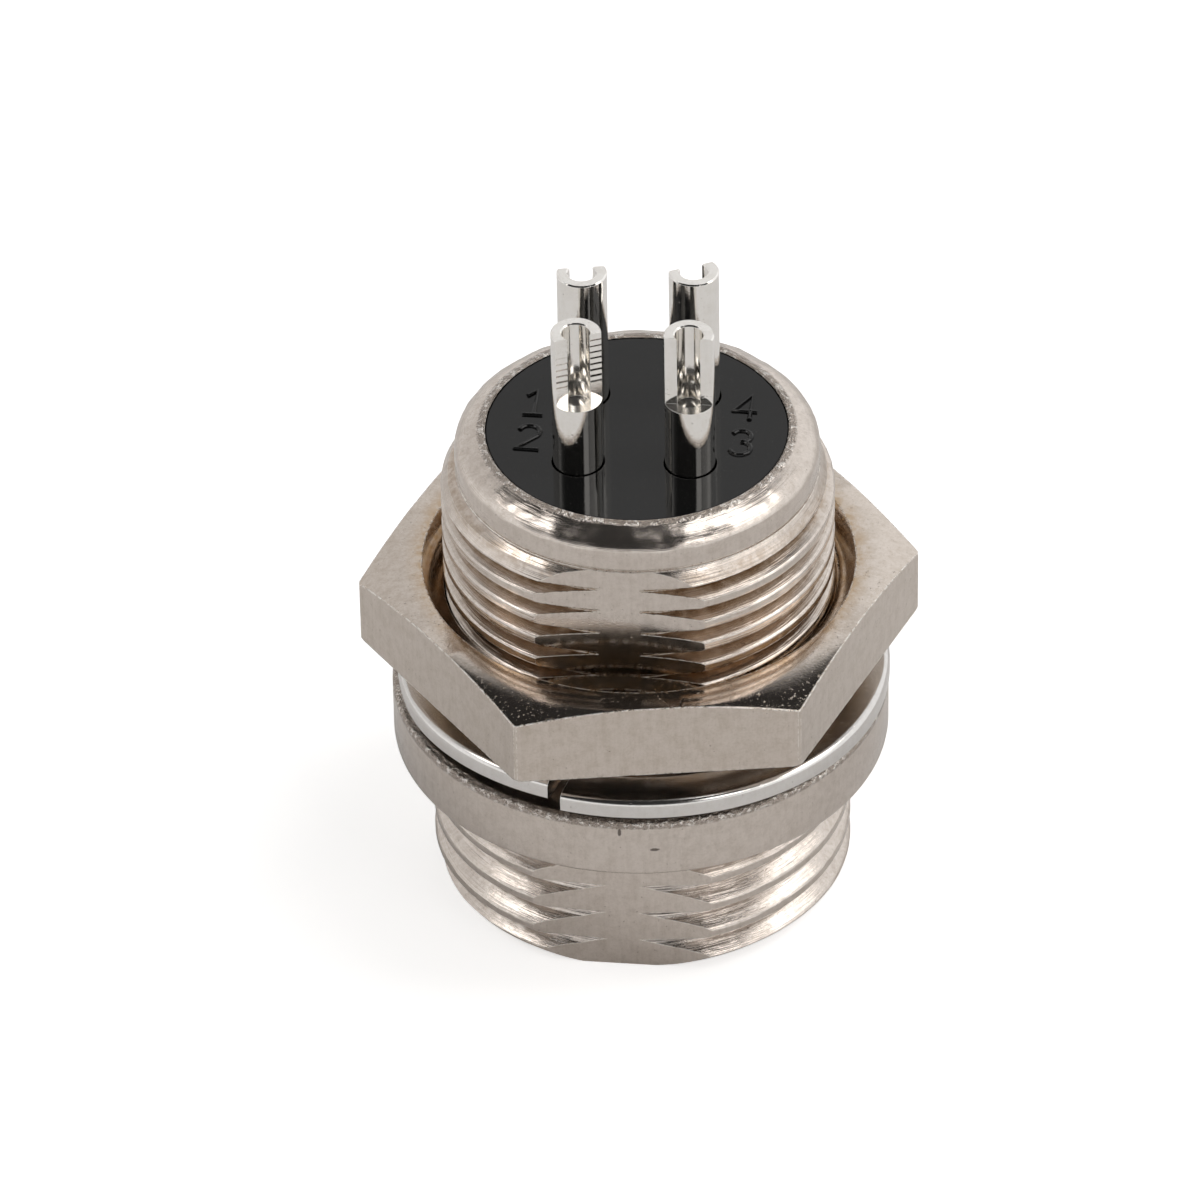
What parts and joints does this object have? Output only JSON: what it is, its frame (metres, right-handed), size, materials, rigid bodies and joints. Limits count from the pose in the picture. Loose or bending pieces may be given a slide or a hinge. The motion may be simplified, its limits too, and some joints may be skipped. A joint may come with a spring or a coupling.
{
  "type": "aviation plug connector",
  "caption": "Round panel-mount electrical connector with threaded ends, a flange, a hex nut with a curved lock washer, and solder-cup contacts in a black insulator.",
  "frame": {"origin": "centre of the mating rim, which is the base that the connector stands on", "axes": "+Z along the connector's axis from the mating rim to the solder cups, with the die-parting flats on the threads facing -Y and +Y"},
  "size_m": [0.021, 0.02, 0.026],
  "materials": {
    "plated_shell": "nickel plating over a die casting, bright with fine pits and scuffs",
    "plated_nut": "nickel plating, turned and tumbled",
    "plated_washer": "nickel plating over spring steel",
    "black_insulator": "glossy black thermoset",
    "silver_contact": "silver plating over turned brass"
  },
  "bodies": {
    "shell": {"shell": "plated_shell", "front_insulator": "black_insulator", "rear_insulator": "black_insulator", "contact_1": "silver_contact", "contact_2": "silver_contact", "contact_3": "silver_contact", "contact_4": "silver_contact"},
    "washer": {"lock_washer": "plated_washer"},
    "nut": {"hex_nut": "plated_nut"}
  },
  "joints": [
    {"name": "nut_turn", "type": "hinge", "parent": "shell", "child": "washer", "pos_m": [0, 0, 0.009], "axis": [0, 0, 1], "range_deg": [-234, 2340]},
    {"name": "nut_travel", "type": "slide", "parent": "washer", "child": "nut", "axis": [0, 0, 1], "range_m": [-0.00066, 0.00651]}
  ],
  "couplings": [
    {"joint": "nut_travel", "follows": "nut_turn", "m_per_rad": 0.00015915}
  ]
}
